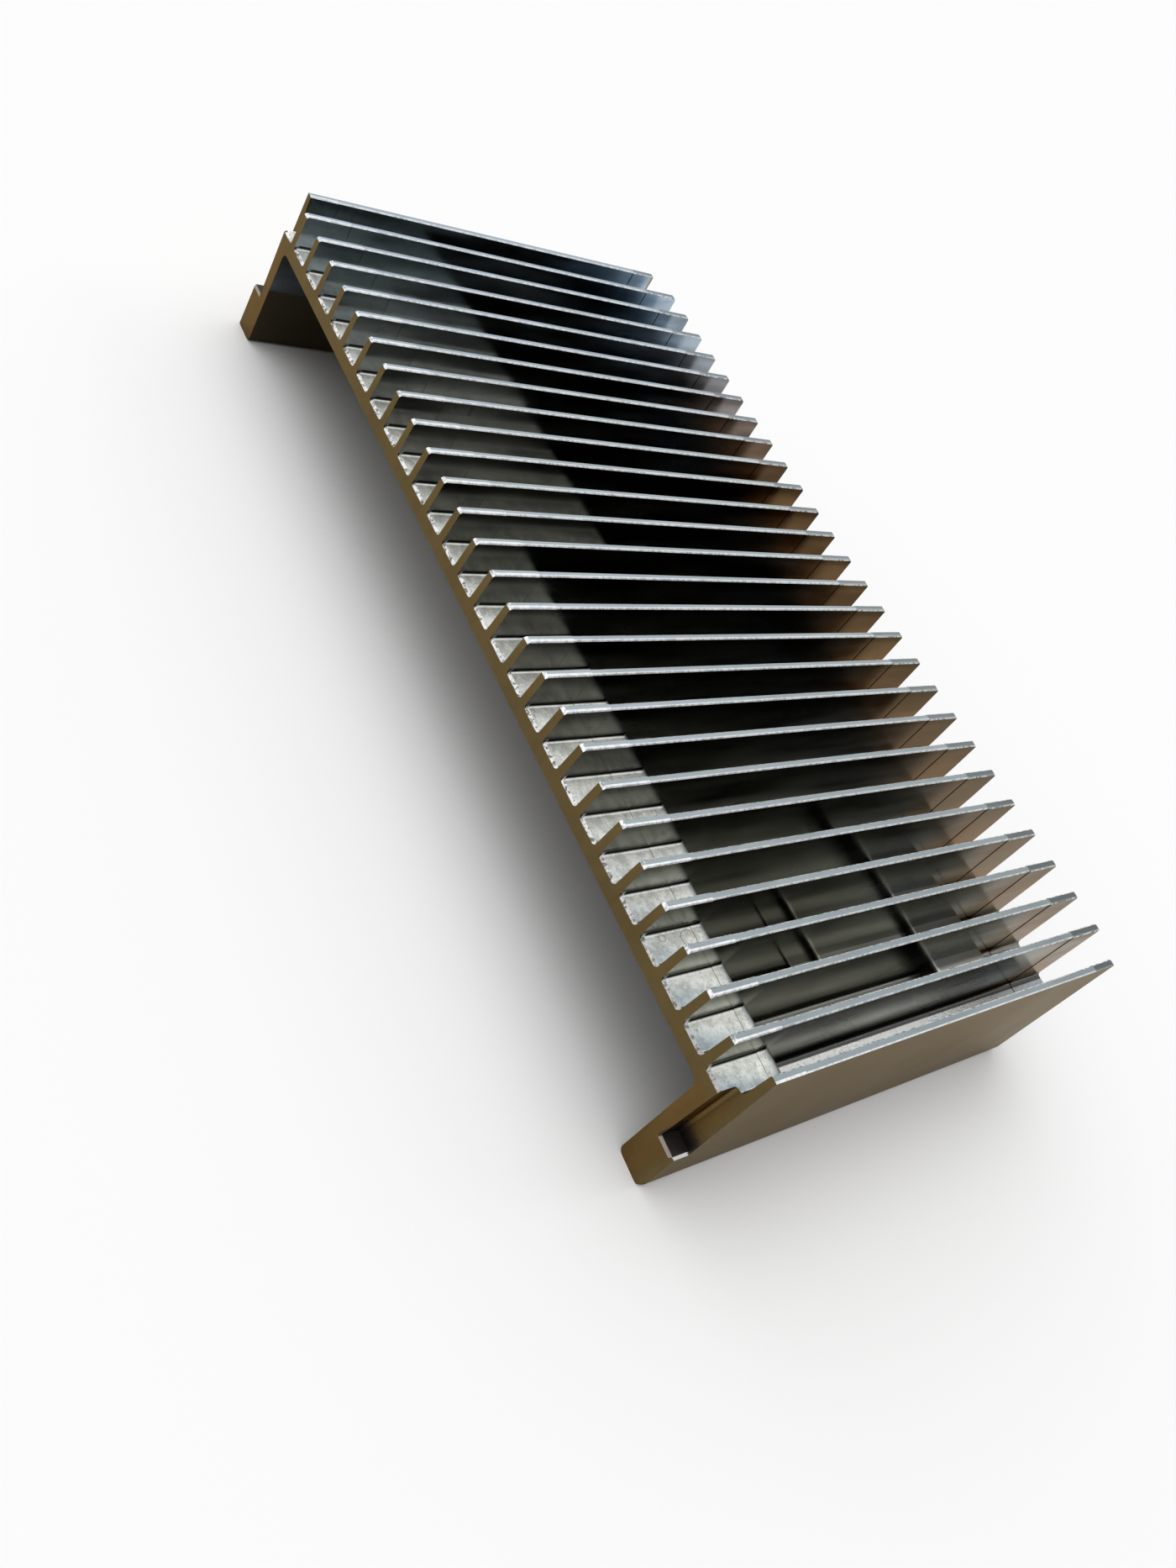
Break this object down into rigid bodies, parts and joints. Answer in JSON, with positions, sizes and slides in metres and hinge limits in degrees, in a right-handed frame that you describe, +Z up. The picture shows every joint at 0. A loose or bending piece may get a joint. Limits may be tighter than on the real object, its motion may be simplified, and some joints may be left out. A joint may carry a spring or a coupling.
{
  "type": "die-cast heat sink",
  "caption": "Long die-cast aluminium heat sink: a row of thin upright fins on a stepped base, carried by a leg at each end, for cooling a circuit board below.",
  "frame": {"origin": "middle of the footprint, on the surface that the legs stand on", "axes": "+X along the row of fins towards the end with the short shelf, +Y along each fin away from the shelf side, +Z up towards the fin tips"},
  "size_m": [0.2204, 0.112, 0.037],
  "materials": {
    "cast_aluminium": "bare die-cast, semi-gloss fin faces with a fine grain"
  },
  "bodies": {
    "root": {"heat_sink": "cast_aluminium"}
  },
  "joints": []
}
